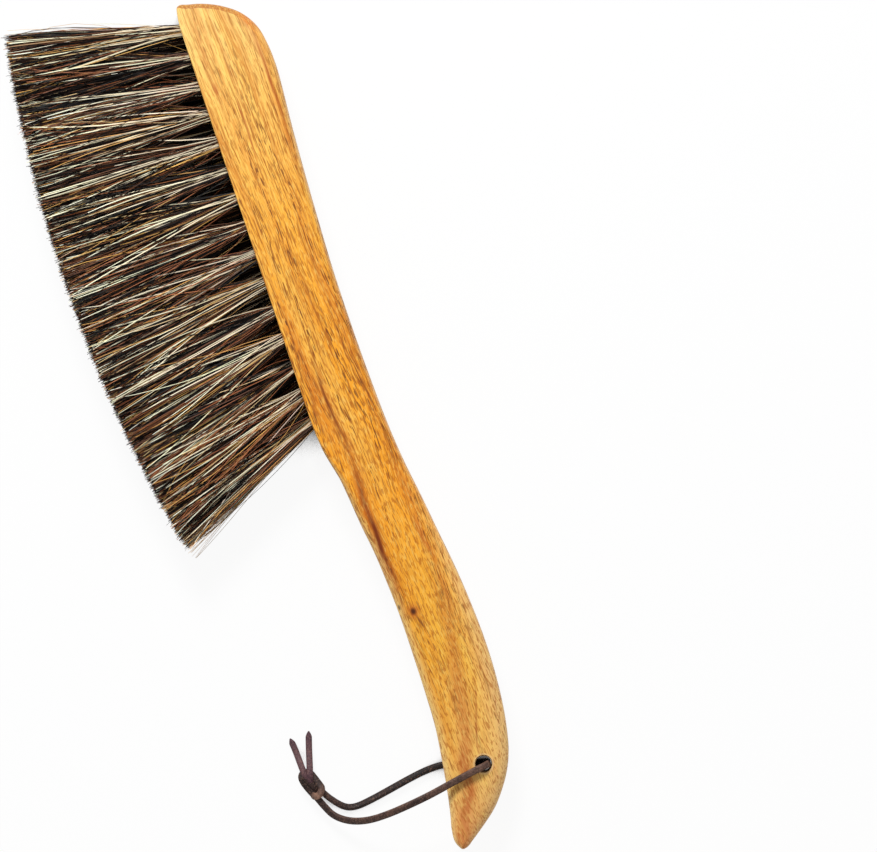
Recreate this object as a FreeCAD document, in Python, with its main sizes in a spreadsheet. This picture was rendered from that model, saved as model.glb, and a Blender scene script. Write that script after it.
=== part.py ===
"""A hand broom that lies on its side.

A handle block is sawn from one plank: a straight head and a curved grip that gets thinner towards
its end. Fibre tufts are folded over flat steel anchors and driven into blind holes in the head, in
three staggered rows that fan out. A leather thong goes through the end of the grip and is knotted.

Millimetres. +X runs from the toe of the head to the end of the grip, the bristles point to -Y, and
+Z is up. The origin is on the surface the broom lies on, under the middle of the head.
"""

import FreeCAD, Part
import math
import os

from FreeCAD import Placement, Rotation, Vector

# Driving dimensions: alias, value in millimetres, what it is
SIZES = [
    ("head_length", 170.5, "bristle face, toe to heel"),
    ("grip_length", 170.0, "heel to the tip of the grip"),
    ("head_height", 25.8, "bristle face to the lowest place of the back"),
    ("crest_height", 30.4, "bristle face to the crest behind the toe"),
    ("grip_back_height", 36.5, "bristle face line to the top of the grip's back"),
    ("grip_under_height", 9.15, "bristle face line to the top of the grip's underside"),
    ("plank_thickness", 24.0, "thickness of the head"),
    ("grip_thinning", 4.6, "wood taken off each side at the tip of the grip"),
    ("thinning_lead", 60.0, "length over which the thinning starts"),
    ("toe_corner_radius", 2.4, "corner between toe and bristle face, seen flat"),
    ("tip_half_width", 3.3, "half width of the grip's blunt tip"),
    ("edge_rounding", 2.0, "rounding of every long edge of the block"),
    ("thong_hole_diameter", 6.2, "hole for the thong"),
    ("thong_hole_setback", 28.4, "thong hole to the tip of the grip"),
    ("thong_hole_height", 21.4, "bristle face line to the thong hole"),
    ("tuft_hole_diameter", 5.0, "blind hole for a tuft"),
    ("tuft_hole_depth", 12.0, "depth of that hole along its axis"),
    ("tuft_clearance", 0.15, "tuft to the wall of its hole"),
    ("tuft_floor_gap", 0.3, "folded end of a tuft to the floor of its hole"),
    ("tuft_stand", 1.5, "how far a tuft leaves its hole before it spreads"),
    ("toe_margin", 9.7, "toe to the first tuft of an outer row"),
    ("heel_margin", 3.0, "last tuft of an outer row to the heel"),
    ("row_pitch", 6.3, "row to row at the bristle face"),
    ("tip_row_pitch", 8.0, "row to row at the tips"),
    ("toe_splay", 11.6, "lean of the first tuft's tip past the toe"),
    ("heel_splay", 22.9, "lean of the last tuft's tip towards the grip"),
    ("trim_length", 71.6, "bristle face to the furthest tips"),
    ("trim_radius", 560.0, "radius of the line the tips are trimmed to"),
    ("trim_centre", 84.0, "toe to the furthest tips"),
    ("tip_gap", 0.5, "tuft to tuft at the tips"),
    ("anchor_thickness", 0.6, "flat wire of an anchor"),
    ("anchor_depth", 2.0, "height of an anchor along the tuft"),
    ("anchor_bite", 0.5, "how far each end of an anchor bites into the wood"),
    ("anchor_seat", 1.0, "fold of fibre under an anchor"),
    ("slot_clearance", 0.05, "anchor to the fibre folded round it"),
    ("lace_diameter", 2.6, "leather lace of the thong"),
    ("knot_length", 13.2, "knot along the strands"),
    ("knot_width", 8.0, "knot across the strands"),
    ("knot_thickness", 7.2, "knot, up from the surface"),
    ("knot_lift", 0.2, "knot to the surface the broom lies on"),
]
OUTER_ROW_COUNT = 15
# Row name, rows above the middle one, shift along the row in pitches, tufts fewer than an outer row
ROWS = [("upper", 1, 0.0, 0), ("middle", 0, 0.5, 1), ("lower", -1, 0.0, 0)]

# Outline of the block, as shares: along the head or the grip, and of the height that is named
NECK_SHARES = [(0.125, 0.42), (0.238, 0.66), (0.35, 0.87)]
GRIP_CREST_SHARE = 0.553
PALM_SHARES = [(0.756, 0.86), (0.88, 0.52)]
TIP_START_SHARES = (0.976, 0.17)
TIP_END_SHARE = 0.206
BEAK_SHARES = [(0.914, 0.625), (0.825, 0.862), (0.71, 0.977)]
GRIP_BACK_SHARE = 0.576
BACK_SHARES = [(0.395, 0.945), (0.168, 0.805)]
HOLLOW_SHARE = 0.81
HEAD_BACK_SHARES = [(0.54, 0.885), (0.315, 0.944)]
CREST_SHARE = 0.19
NOSE_SHARES = [(0.103, 0.925), (0.034, 0.59), (0.0105, 0.33)]
TOE_CUT_SHARES = (-0.002, 0.1)

# Routes of the lace, chosen by hand: from the middle of the hole to the knot, and out of the knot
FRONT_ROUTE = [
    (227.25, 9.60, 11.75), (227.25, 9.60, 15.60), (227.15, 9.50, 22.15), (228.33, 2.98, 22.30),
    (229.88, -5.62, 22.25), (231.59, -14.53, 22.05), (232.72, -23.15, 21.50), (233.68, -31.63, 18.20),
    (233.95, -40.09, 12.60), (232.79, -47.27, 7.40), (229.38, -52.57, 4.90), (224.28, -55.61, 4.25),
    (219.15, -57.13, 4.20),
]
BACK_ROUTE = [
    (227.25, 9.60, 11.75), (227.25, 9.60, 7.90), (227.05, 9.50, 1.60), (225.71, 3.06, 1.50),
    (222.99, -5.50, 1.55), (222.89, -12.76, 1.50), (224.05, -20.63, 1.55), (225.71, -29.09, 1.50),
    (227.27, -37.76, 1.55), (227.73, -44.01, 1.50), (226.51, -48.44, 1.70), (223.67, -51.95, 2.20),
    (219.01, -54.61, 2.60),
]
LONG_TAIL_ROUTE = [
    (209.27, -56.57, 4.40), (204.29, -56.36, 3.10), (199.29, -54.98, 2.00), (194.67, -53.23, 1.60),
]
SHORT_TAIL_ROUTE = [
    (209.14, -59.50, 2.60), (204.53, -59.76, 2.10), (199.90, -60.18, 1.75), (195.68, -60.54, 1.60),
]
KNOT_CENTRE = (214.28, -56.94)
KNOT_TURN = 13.7
ARC_SHARE = 0.45
# A face or edge leans less than this share from upright or level
UPRIGHT_SHARE = 0.1

doc = FreeCAD.newDocument("HandBroom")
sheet = doc.addObject("Spreadsheet::Sheet", "Sizes")
for line, (alias, value, words) in enumerate(SIZES, start=1):
    sheet.set(f"A{line}", words)
    sheet.set(f"B{line}", str(value))
    sheet.setAlias(f"B{line}", alias)
doc.recompute()
sub_parts = []


def size(alias):
    """A driving dimension, read from the sheet."""
    return float(sheet.get(alias))


def make(kind, name, placement=None, **expressions):
    """A document object whose sizes are bound to cells of the sheet, set at its place."""
    made = doc.addObject(kind, name)
    for prop, expression in expressions.items():
        made.setExpression(prop, expression)
    if placement is not None:
        made.Placement = placement
    return made


def sub_part(made, label):
    """Gives a finished piece the label that names its file."""
    made.Label = label
    sub_parts.append(made)
    return made


# Places that several pieces share
toe_x = -size("head_length") / 2
heel_x = size("head_length") / 2
tip_x = heel_x + size("grip_length")
face_y = -size("head_height") / 2
middle_z = size("plank_thickness") / 2
thong_hole = Vector(tip_x - size("thong_hole_setback"), face_y + size("thong_hole_height"), 0)
thinning_slope = size("grip_thinning") / (size("grip_length") - size("thinning_lead") / 2)


# Handle block

def on_head(along, up, height):
    """A point of the outline: a share along the head from the toe, and a share of a named height."""
    return Vector(toe_x + along * size("head_length"), face_y + up * size(height), 0)


def on_grip(along, up, height):
    """A point of the outline: a share along the grip from the heel, and a share of a named height."""
    return Vector(heel_x + along * size("grip_length"), face_y + up * size(height), 0)


def curve(points, leaves, arrives):
    """A smooth curve through the points, with the directions in which it leaves and arrives."""
    made = Part.BSplineCurve()
    made.interpolate(Points=points, InitialTangent=leaves, FinalTangent=arrives)
    return made


def block_outline():
    """The plank's outline from above, anticlockwise from the toe end of the bristle face."""
    ahead, back = Vector(1, 0, 0), Vector(-1, 0, 0)
    corner = size("toe_corner_radius")
    toe = Vector(toe_x + corner, face_y, 0)
    heel = Vector(heel_x, face_y, 0)
    grip_crest = on_grip(GRIP_CREST_SHARE, 1, "grip_under_height")
    tip_start = on_grip(*TIP_START_SHARES, "grip_under_height")
    tip = Vector(tip_x, face_y + size("tip_half_width"), 0)
    tip_end = on_grip(1, TIP_END_SHARE, "grip_back_height") - Vector(size("tip_half_width") / 2, 0, 0)
    grip_back = on_grip(GRIP_BACK_SHARE, 1, "grip_back_height")
    hollow = on_head(HOLLOW_SHARE, 1, "head_height")
    crest = on_head(CREST_SHARE, 1, "crest_height")
    toe_cut = on_head(*TOE_CUT_SHARES, "crest_height")

    neck = [heel] + [on_grip(*p, "grip_under_height") for p in NECK_SHARES] + [grip_crest]
    palm = [grip_crest] + [on_grip(*p, "grip_under_height") for p in PALM_SHARES] + [tip_start]
    beak = [tip_end] + [on_grip(*p, "grip_back_height") for p in BEAK_SHARES] + [grip_back]
    grip = [grip_back] + [on_grip(*p, "grip_back_height") for p in BACK_SHARES] + [hollow]
    head = [hollow] + [on_head(*p, "crest_height") for p in HEAD_BACK_SHARES] + [crest]
    nose = [crest] + [on_head(*p, "crest_height") for p in NOSE_SHARES] + [toe_cut]

    tip_arc = Part.Arc(tip_start, tip, tip_end)
    into_tip = tip_arc.tangent(tip_arc.FirstParameter)[0]
    out_of_tip = tip_arc.tangent(tip_arc.LastParameter)[0]
    down_toe = toe_cut - nose[-2]
    toe_arc = curve([toe_cut, toe], down_toe, ahead * corner)
    return [
        Part.LineSegment(toe, heel),
        curve(neck, ahead, ahead),
        curve(palm, ahead, into_tip),
        tip_arc,
        curve(beak, out_of_tip, back),
        curve(grip, back, back),
        curve(head, back, back),
        curve(nose, back, down_toe),
        toe_arc,
    ]


def origin_plane(body, role):
    """One of a body's own origin planes."""
    return next(plane for plane in body.Origin.OriginFeatures if plane.Role == role)


def sketch_on(body, name, role, geometry):
    """A sketch on an origin plane of its body."""
    sketch = body.newObject("Sketcher::SketchObject", name)
    sketch.AttachmentSupport = (origin_plane(body, role), [""])
    sketch.MapMode = "FlatFace"
    for item in geometry:
        sketch.addGeometry(item, False)
    return sketch


def thinning_profile(surface_z, inward):
    """What is planed off one side of the grip, seen from the bristle side: it starts flush with the
    head at the heel, leans in over the lead, and runs straight past the tip."""
    lead, slope = size("thinning_lead"), thinning_slope * inward
    overrun = size("plank_thickness")
    end_x = tip_x + overrun

    def off(along):
        return slope * along * along / (2 * lead)

    start = Vector(heel_x, surface_z, 0)
    half = Vector(heel_x + lead / 2, surface_z + off(lead / 2), 0)
    leant = Vector(heel_x + lead, surface_z + off(lead), 0)
    end = Vector(end_x, leant.y + slope * (end_x - leant.x), 0)
    outside = surface_z - inward * overrun
    corners = [end, Vector(end_x, outside, 0), Vector(heel_x, outside, 0), start]
    sides = [Part.LineSegment(a, b) for a, b in zip(corners, corners[1:])]
    return [Part.Arc(start, half, leant), Part.LineSegment(leant, end)] + sides


def rim_edges(shape):
    """Names of the edges where the block's sides meet its upper and lower faces."""
    names = set()
    for face in shape.Faces:
        wall = abs(face.normalAt(*face.Surface.parameter(face.CenterOfMass)).z) < UPRIGHT_SHARE
        for edge in face.Edges if wall else []:
            run = edge.lastVertex().Point - edge.firstVertex().Point
            if abs(run.z) < UPRIGHT_SHARE * edge.Length:
                index = next(i for i, e in enumerate(shape.Edges, start=1) if e.isSame(edge))
                names.add(f"Edge{index}")
    return sorted(names)


def plank_block():
    """The sawn and planed plank, with its edges rounded."""
    body = doc.addObject("PartDesign::Body", "Plank")
    outline = sketch_on(body, "Outline", "XY_Plane", block_outline())
    pad = body.newObject("PartDesign::Pad", "Sawn")
    pad.Profile = outline
    pad.setExpression("Length", "Sizes.plank_thickness")
    doc.recompute()
    sawn_volume = pad.Shape.Volume

    profiles = thinning_profile(0, 1) + thinning_profile(size("plank_thickness"), -1)
    thinning = sketch_on(body, "Thinning", "XZ_Plane", profiles)
    pocket = body.newObject("PartDesign::Pocket", "Planed")
    pocket.Profile = thinning
    pocket.Type = "ThroughAll"
    pocket.Midplane = True
    doc.recompute()
    print(f"planing the grip takes off {sawn_volume - pocket.Shape.Volume:.0f} mm3")

    rounded = body.newObject("PartDesign::Fillet", "Rounded")
    rounded.Base = (pocket, rim_edges(pocket.Shape))
    rounded.setExpression("Radius", "Sizes.edge_rounding")
    doc.recompute()
    print(f"rounding takes off {pocket.Shape.Volume - rounded.Shape.Volume:.0f} mm3")
    return body


# Tufts and their anchors

class TuftPlace:
    """Where one tuft stands: its mouth on the bristle face, its tip, and the axis between them."""

    def __init__(self, row, place):
        name, level, shift, _ = row
        gaps = OUTER_ROW_COUNT - 1
        run = size("head_length") - size("toe_margin") - size("heel_margin")
        tip_run = run + size("toe_splay") + size("heel_splay")
        along = (place + shift) / gaps
        self.name = f"{name}_{place + 1:02d}"
        self.mouth = Vector(
            toe_x + size("toe_margin") + along * run,
            face_y,
            middle_z + level * size("row_pitch"),
        )
        reach = toe_x + size("toe_margin") - size("toe_splay") + along * tip_run
        from_centre = reach - toe_x - size("trim_centre")
        self.lean = math.asin(from_centre / size("trim_radius"))
        short = size("trim_radius") * (1 - math.cos(self.lean))
        self.tip = Vector(
            reach,
            face_y - size("trim_length") + short,
            middle_z + level * size("tip_row_pitch"),
        )
        self.axis = (self.tip - self.mouth).normalize()
        self.half_width = (tip_run / gaps - size("tip_gap")) / 2

    def upright(self, base):
        """A placement whose Z runs along the axis into the block and whose X lies across the row."""
        across = Vector(0, 0, 1)
        across = (across - self.axis * across.dot(self.axis)).normalize()
        inward = self.axis * -1
        return Placement(base, Rotation(across, inward.cross(across), inward, "ZXY"))

    def along(self, distance):
        """A point of the axis, so far out of the block."""
        return self.mouth + self.axis * distance

    def at_tip(self):
        """The tip's placement: X along the trimmed line, Y across the rows."""
        along_trim = Vector(math.cos(self.lean), math.sin(self.lean), 0)
        across = Vector(0, 0, 1)
        return Placement(self.tip, Rotation(along_trim, across, along_trim.cross(across), "ZXY"))


def tuft(place, root_depth):
    """One tuft: a round bundle in its hole that spreads to an oval tip, with the slot of its anchor."""
    radius = "Sizes.tuft_hole_diameter / 2 - Sizes.tuft_clearance"
    root = make("Part::Circle", "Root", place.upright(place.along(-root_depth)), Radius=radius)
    neck = make("Part::Circle", "Neck", place.upright(place.along(size("tuft_stand"))), Radius=radius)
    tip = doc.addObject("Part::Ellipse", "Tip")
    tip.MajorRadius = place.half_width
    tip.setExpression("MinorRadius", "(Sizes.tip_row_pitch - Sizes.tip_gap) / 2")
    tip.Placement = place.at_tip()
    bundle = doc.addObject("Part::Loft", "Bundle")
    bundle.Sections = [root, neck, tip]
    bundle.Solid = True
    bundle.Ruled = True
    slot = make(
        "Part::Box", "Slot",
        Length="Sizes.tuft_hole_diameter",
        Width="Sizes.anchor_thickness + 2 * Sizes.slot_clearance",
        Height="Sizes.anchor_depth + 2 * Sizes.slot_clearance",
    )
    slot.Placement = anchor_place(place, root_depth, size("tuft_hole_diameter"), size("slot_clearance"))
    cut = doc.addObject("Part::Cut", "Tuft")
    cut.Base, cut.Tool = bundle, slot
    return sub_part(cut, f"tuft_{place.name}")


def anchor_place(place, root_depth, length, clearance):
    """The placement of a flat box of that length that lies across a tuft's fold."""
    into = place.upright(place.along(size("anchor_seat") + size("anchor_depth") + clearance - root_depth))
    half = Vector(length / 2, size("anchor_thickness") / 2 + clearance, 0)
    return Placement(into.Base - into.Rotation.multVec(half), into.Rotation)


def anchor(place, root_depth):
    """One anchor: a piece of flat wire, longer than its hole is wide."""
    length = size("tuft_hole_diameter") + 2 * size("anchor_bite")
    return make(
        "Part::Box", "Anchor", anchor_place(place, root_depth, length, 0),
        Length="Sizes.tuft_hole_diameter + 2 * Sizes.anchor_bite",
        Width="Sizes.anchor_thickness",
        Height="Sizes.anchor_depth",
    )


def drilled(block, places):
    """The block with its blind tuft holes and the thong hole."""
    holes = []
    overrun = size("tuft_hole_diameter")
    for place in places:
        holes.append(make(
            "Part::Cylinder", "TuftHole", place.upright(place.along(overrun)),
            Radius="Sizes.tuft_hole_diameter / 2",
            Height="Sizes.tuft_hole_depth + Sizes.tuft_hole_diameter",
        ))
    through = make(
        "Part::Cylinder", "ThongHole", Placement(thong_hole, Rotation()),
        Radius="Sizes.thong_hole_diameter / 2",
        Height="Sizes.plank_thickness",
    )
    drills = doc.addObject("Part::Compound", "Drills")
    drills.Links = holes + [through]
    cut = doc.addObject("Part::Cut", "Drilled")
    cut.Base, cut.Tool = block, drills
    return sub_part(cut, "handle_block")


# Thong

def rounded_route(points):
    """The wire of a route: straight runs joined by arcs as large as the runs allow. Returns it with
    its length and the arcs' radii."""
    points = [Vector(*p) for p in points]
    edges, radii = [], []
    start = points[0]
    for before, corner, after in zip(points, points[1:], points[2:]):
        back, ahead = before - corner, after - corner
        turn = math.pi - back.getAngle(ahead)
        shorter = min(back.Length, ahead.Length)
        radius = ARC_SHARE * shorter / math.tan(turn / 2)
        first = corner + back.normalize() * ARC_SHARE * shorter
        last = corner + ahead.normalize() * ARC_SHARE * shorter
        to_centre = (back + ahead).normalize()
        middle = corner + to_centre * (radius / math.cos(turn / 2) - radius)
        edges += [Part.LineSegment(start, first).toShape(), Part.Arc(first, middle, last).toShape()]
        radii.append(radius)
        start = last
    edges.append(Part.LineSegment(start, points[-1]).toShape())
    return Part.Wire(edges), sum(e.Length for e in edges), radii


def lace(name, points):
    """A round stretch of lace along a route."""
    wire, length, radii = rounded_route(points)
    radius = size("lace_diameter") / 2
    ring = Part.Wire(Part.makeCircle(radius, Vector(*points[0]), Vector(*points[1]) - Vector(*points[0])))
    made = doc.addObject("Part::Feature", name)
    made.Shape = wire.makePipeShell([ring], True, False)
    expected = math.pi * radius * radius * length
    print(
        f"{name}: {length:.1f} mm long, volume {made.Shape.Volume / expected:.4f} of section times length,"
        f" radii {[round(r, 1) for r in radii]}"
    )
    return sub_part(made, name)


def knot():
    """The overhand knot that ties the two strands, as one rounded lump."""
    base = Vector(*KNOT_CENTRE, size("knot_lift") + size("knot_thickness") / 2)
    made = make(
        "Part::Ellipsoid", "Knot", Placement(base, Rotation(Vector(0, 0, 1), KNOT_TURN)),
        Radius1="Sizes.knot_thickness / 2",
        Radius2="Sizes.knot_length / 2",
        Radius3="Sizes.knot_width / 2",
    )
    return sub_part(made, "thong_knot")


def write_parts():
    """Checks every object, then writes each sub-part's file."""
    bad = [o.Label for o in doc.Objects if set(o.State) & {"Invalid", "Error"}]
    bad += [p.Label for p in sub_parts if p.Shape.isNull() or not p.Shape.isValid()]
    if bad:
        raise RuntimeError(f"these failed: {bad}")
    os.makedirs("parts", exist_ok=True)
    for piece in sub_parts:
        piece.Shape.exportStep(f"parts/{piece.Label}.step")
    print(f"{len(sub_parts)} sub-parts, thong hole at {thong_hole.x:.3f}, {thong_hole.y:.3f}")


tuft_places = [TuftPlace(row, i) for row in ROWS for i in range(OUTER_ROW_COUNT - row[3])]
root_depth = size("tuft_hole_depth") - size("tuft_floor_gap")
drilled(plank_block(), tuft_places)
for each in tuft_places:
    tuft(each, root_depth)
anchors = doc.addObject("Part::Compound", "Anchors")
anchors.Links = [anchor(each, root_depth) for each in tuft_places]
sub_part(anchors, "tuft_anchors")
lace("thong_front_strand", FRONT_ROUTE)
lace("thong_back_strand", BACK_ROUTE)
lace("thong_long_tail", LONG_TAIL_ROUTE)
lace("thong_short_tail", SHORT_TAIL_ROUTE)
knot()
doc.recompute()
write_parts()
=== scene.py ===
import math

import bmesh
import bpy
import numpy as np
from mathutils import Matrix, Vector


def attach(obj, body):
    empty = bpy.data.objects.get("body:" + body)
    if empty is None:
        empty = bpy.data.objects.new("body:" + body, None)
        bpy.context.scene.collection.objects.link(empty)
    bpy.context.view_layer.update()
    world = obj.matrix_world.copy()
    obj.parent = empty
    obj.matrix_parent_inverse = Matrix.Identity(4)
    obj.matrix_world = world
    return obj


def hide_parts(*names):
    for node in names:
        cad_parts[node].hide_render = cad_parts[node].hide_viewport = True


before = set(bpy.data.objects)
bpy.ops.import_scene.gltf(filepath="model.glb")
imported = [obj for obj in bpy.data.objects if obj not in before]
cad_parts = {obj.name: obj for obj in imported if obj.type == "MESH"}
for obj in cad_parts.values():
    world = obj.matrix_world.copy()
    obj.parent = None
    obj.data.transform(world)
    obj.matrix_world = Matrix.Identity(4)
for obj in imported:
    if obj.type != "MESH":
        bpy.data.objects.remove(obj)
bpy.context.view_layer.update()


# Handle block. One sawn plank with a straight head and a curved grip, sanded round on all edges but
# those along the bristles, with a hole drilled near its tip and eased at its rims. Straight-grained
# golden hardwood with fine dark pores and redder streaks, under a thin clear satin lacquer.
TOE = np.array([-0.08525, -0.0129])
HEEL = 0.08525
PLANK = 0.024
# Past the heel the faces lean in by this slope, which they reach over this length
THINNING_SLOPE = 0.0328
THINNING_LEAD = 0.06
# Angle in degrees at which the rounding starts on the head and on the grip, the length past the heel
# over which one passes into the other, and how much wider than high the rounding is on the grip
HEAD_CREASE, GRIP_CREASE = 24, 2
GRIP_LEAD = 0.07
GRIP_EASE = 0.6
# Rows on a face, as shares of the way to the rounding, rows round an edge, and columns
FACE_ROWS = (0, 0.2, 0.4, 0.6, 0.8, 0.93, 0.985)
EDGE_ROWS = 11
BLOCK_COLUMNS = 1300
SHARP_EDGE = math.radians(20)
# Outline from the toe corner anticlockwise, in millimetres from that corner, and the edge's rounding
BLOCK_RING = [
    (1.8, 0.95, 0.9), (3, 0.7, 0.7), (4.5, 0.42, 0.6), (6.5, 0.2, 0.55), (9.5, 0.05, 0.55),
    (30, 0, 0.55), (85, 0, 0.55), (135, 0, 0.55), (160, 0, 0.6), (168, 0.05, 0.8), (174, 0.4, 1.1),
    (180.02, 1.07, 1.6), (185.53, 2.25, 2.1), (191.72, 3.62, 2.7), (199.45, 4.53, 3.2),
    (211.04, 5.7, 3.7), (222.41, 7.2, 4.1), (234.02, 8.1, 4.4), (248.01, 8.8, 4.6), (264.5, 8.87, 4.6),
    (279.99, 8.7, 4.6), (293.01, 8.21, 4.6), (304.98, 6.77, 4.5), (315.97, 5.13, 4.2),
    (325.96, 3.29, 3.5), (331.93, 1.88, 2.9), (336.6, 1.5, 2.4), (339.13, 2.34, 2.1), (340.69, 3.58, 2),
    (340.29, 5.79, 2.2), (338.68, 8.2, 2.7), (333.91, 14.85, 3.8), (330.22, 19.41, 4.3),
    (326.27, 23.07, 4.6), (318.49, 28.5, 4.7), (310.76, 31.97, 4.7), (299.03, 34.69, 4.7),
    (283.71, 36.41, 4.7), (268.4, 36.85, 4.7), (252.99, 36.21, 4.6), (237.68, 34.89, 4.6),
    (222.38, 32.95, 4.5), (206.96, 31, 4.4), (191.68, 28.89, 4.3), (176.38, 27.54, 4.2),
    (157.99, 26.74, 4.2), (138, 26.28, 4.2), (115.01, 26.27, 4.2), (92.01, 27.01, 4.4), (69.01, 28.05, 4.8),
    (53.72, 28.98, 5.2), (42.21, 29.85, 5.4), (33.4, 30.3, 5.4), (24.79, 29.89, 5), (17.16, 28.24, 4.2),
    (10.49, 24.03, 3.4), (5.43, 17.42, 3.2), (2.29, 10.49, 3.2), (0.96, 5.31, 3), (0.3, 2.9, 2.6),
    (0.55, 1.9, 1.8), (1, 1.25, 1.2),
]
THONG_HOLE = np.array([0.22685, 0.0085])
# Profile of the hole from below to above the block: height and radius
HOLE_PROFILE = np.array([
    (-0.004, 0.0112), (0.00366, 0.0035), (0.0042, 0.00315), (0.0050, 0.0031), (0.0190, 0.0031),
    (0.0198, 0.00315), (0.02034, 0.0035), (0.028, 0.0112),
])


def distance_along(line):
    """Length of a line of points from its first to each of them."""
    return np.concatenate([[0], np.cumsum(np.linalg.norm(np.diff(line, axis=0), axis=1))])


def closed_curve(ring, count, span_steps=48):
    """Centripetal Catmull-Rom curve through a closed ring of rows: on each span between two points,
    nested straight blends of four neighbours over knots spaced by the root of their distance. Gives
    count rows, half of them at equal steps to the farthest point and half back, so that each row of
    one side has its opposite on the other, every column blended alike."""
    ring = np.asarray(ring, float)
    p0, p1, p2, p3 = (np.roll(ring, k, axis=0)[:, None, :] for k in (1, 0, -1, -2))

    def knot_gap(a, b):
        return np.sqrt(np.linalg.norm((b - a)[..., :2], axis=-1, keepdims=True))

    t1 = knot_gap(p0, p1)
    t2 = t1 + knot_gap(p1, p2)
    t3 = t2 + knot_gap(p2, p3)
    t = t1 + (t2 - t1) * np.linspace(0, 1, span_steps, endpoint=False)[None, :, None]
    a1 = p0 + (p1 - p0) * t / t1
    a2 = p1 + (p2 - p1) * (t - t1) / (t2 - t1)
    a3 = p2 + (p3 - p2) * (t - t2) / (t3 - t2)
    b1 = a1 + (a2 - a1) * t / t2
    b2 = a2 + (a3 - a2) * (t - t1) / (t3 - t1)
    fine = (b1 + (b2 - b1) * (t - t1) / (t2 - t1)).reshape(-1, ring.shape[1])
    loop = np.vstack([fine, fine[:1]])
    run = distance_along(loop[:, :2])
    far = run[np.argmax(loop[:, 0])]
    steps = (np.arange(count // 2) + 0.5) / (count // 2)
    at = np.concatenate([steps * far, far + steps * (run[-1] - far)])
    return np.stack([np.interp(at, run, column) for column in loop.T], axis=1)


def block_surface(ring):
    """Grid of points, one row per step from the upper face's middle line outwards, round the edge,
    down the side, round the lower edge and in again; one column per place of the ring. The middle line
    lies halfway between opposite places, so the two halves meet on it. On an edge of radius r the row
    at angle a lies r(1 - sin a) inside the outline and r(cos crease - cos a) below the face, with a
    from the crease angle to a right angle. On the grip the crease fades and the rounding gets wider,
    by a smooth step. The faces lean in past the heel, as the square of the distance over the lead and
    evenly from there."""
    xy, radius = ring[:, :2] / 1000 + TOE, ring[:, 2:] / 1000
    along = np.roll(xy, -1, axis=0) - np.roll(xy, 1, axis=0)
    along /= np.linalg.norm(along, axis=1, keepdims=True)
    inward = np.stack([-along[:, 1], along[:, 0]], axis=1)

    def thinning(x):
        past = np.clip(x - HEEL, 0, None)
        lead = past**2 / (2 * THINNING_LEAD)
        return THINNING_SLOPE * np.where(past < THINNING_LEAD, lead, past - THINNING_LEAD / 2)

    grip = np.clip((xy[:, :1] - HEEL) / GRIP_LEAD, 0, 1)
    grip = grip * grip * (3 - 2 * grip)
    crease = np.radians(HEAD_CREASE + (GRIP_CREASE - HEAD_CREASE) * grip)
    ease = radius * (1 + GRIP_EASE * grip)
    rim = xy + inward * ease * (1 - np.sin(crease))
    core = (rim + rim[::-1]) / 2

    plan, drop = [], []
    for share in FACE_ROWS:
        plan.append(core + (rim - core) * share)
        drop.append(0 * radius[:, 0])
    for share in np.linspace(0, 1, EDGE_ROWS):
        angle = crease + (math.pi / 2 - crease) * share
        plan.append(xy + inward * ease * (1 - np.sin(angle)))
        drop.append((radius * (np.cos(crease) - np.cos(angle)))[:, 0])
    plan, drop = np.array(plan), np.array(drop)
    inset = thinning(plan[..., 0]) + drop
    upper = np.dstack([plan, PLANK - inset])
    lower = np.dstack([plan, inset])[::-1]
    side = (upper[-1:] + lower[:1]) / 2
    return np.concatenate([upper, side, lower])


def turned_surface(profile, centre, sides=72):
    """Grid of a profile of heights and radii turned round an upright axis."""
    turn = np.linspace(0, -2 * math.pi, sides, endpoint=False)
    circle = np.stack([np.cos(turn), np.sin(turn)], axis=1)
    plan = centre + profile[:, 1, None, None] * circle[None]
    return np.dstack([plan, np.repeat(profile[:, :1], len(turn), axis=1)])


def close_up(mesh, reach=1e-7):
    """Makes a mesh one closed skin: points within reach of each other are one, slits are filled, and
    faces without area are dissolved."""
    skin = bmesh.new()
    skin.from_mesh(mesh)
    bmesh.ops.remove_doubles(skin, verts=skin.verts, dist=reach)
    slits = [edge for edge in skin.edges if len(edge.link_faces) == 1]
    bmesh.ops.holes_fill(skin, edges=slits, sides=0)
    bmesh.ops.dissolve_degenerate(skin, dist=reach, edges=skin.edges)
    skin.to_mesh(mesh)
    skin.free()


def grid_mesh(name, *grids, capped=False):
    """Mesh of grids of points whose columns close into rings: each cell of four neighbours is a face,
    points that meet are one, and the first and last rows are faces too where the form is capped."""
    faces, start = [], 0
    for grid in grids:
        index = start + np.arange(grid.shape[0] * grid.shape[1]).reshape(grid.shape[:2])
        right = np.roll(index, -1, axis=1)
        cells = np.stack([index[:-1], index[1:], right[1:], right[:-1]], axis=-1)
        faces += cells.reshape(-1, 4).tolist()
        faces += [index[0].tolist(), index[-1][::-1].tolist()] if capped else []
        start += index.size
    mesh = bpy.data.meshes.new(name)
    mesh.from_pydata(np.concatenate([grid.reshape(-1, 3) for grid in grids]), [], faces)
    close_up(mesh)
    mesh.polygons.foreach_set("use_smooth", np.ones(len(mesh.polygons), bool))
    return mesh


def placed(name, data):
    """A new object of this data, in the scene."""
    made = bpy.data.objects.new(name, data)
    bpy.context.collection.objects.link(made)
    return made


def piece(name, mesh, material, body, node):
    """A finished piece at the origin that rides on a body and stands for a CAD node."""
    made = placed(name, mesh)
    mesh.materials.clear()
    mesh.materials.append(material)
    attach(made, body)
    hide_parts(node)
    return made


def srgb(*levels):
    """A colour written as levels of 0 to 255, in the linear light that the shader reads."""
    c = np.array(levels) / 255
    return tuple(np.where(c <= 0.04045, c / 12.92, ((c + 0.055) / 1.055) ** 2.4)) + (1.0,)


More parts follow.
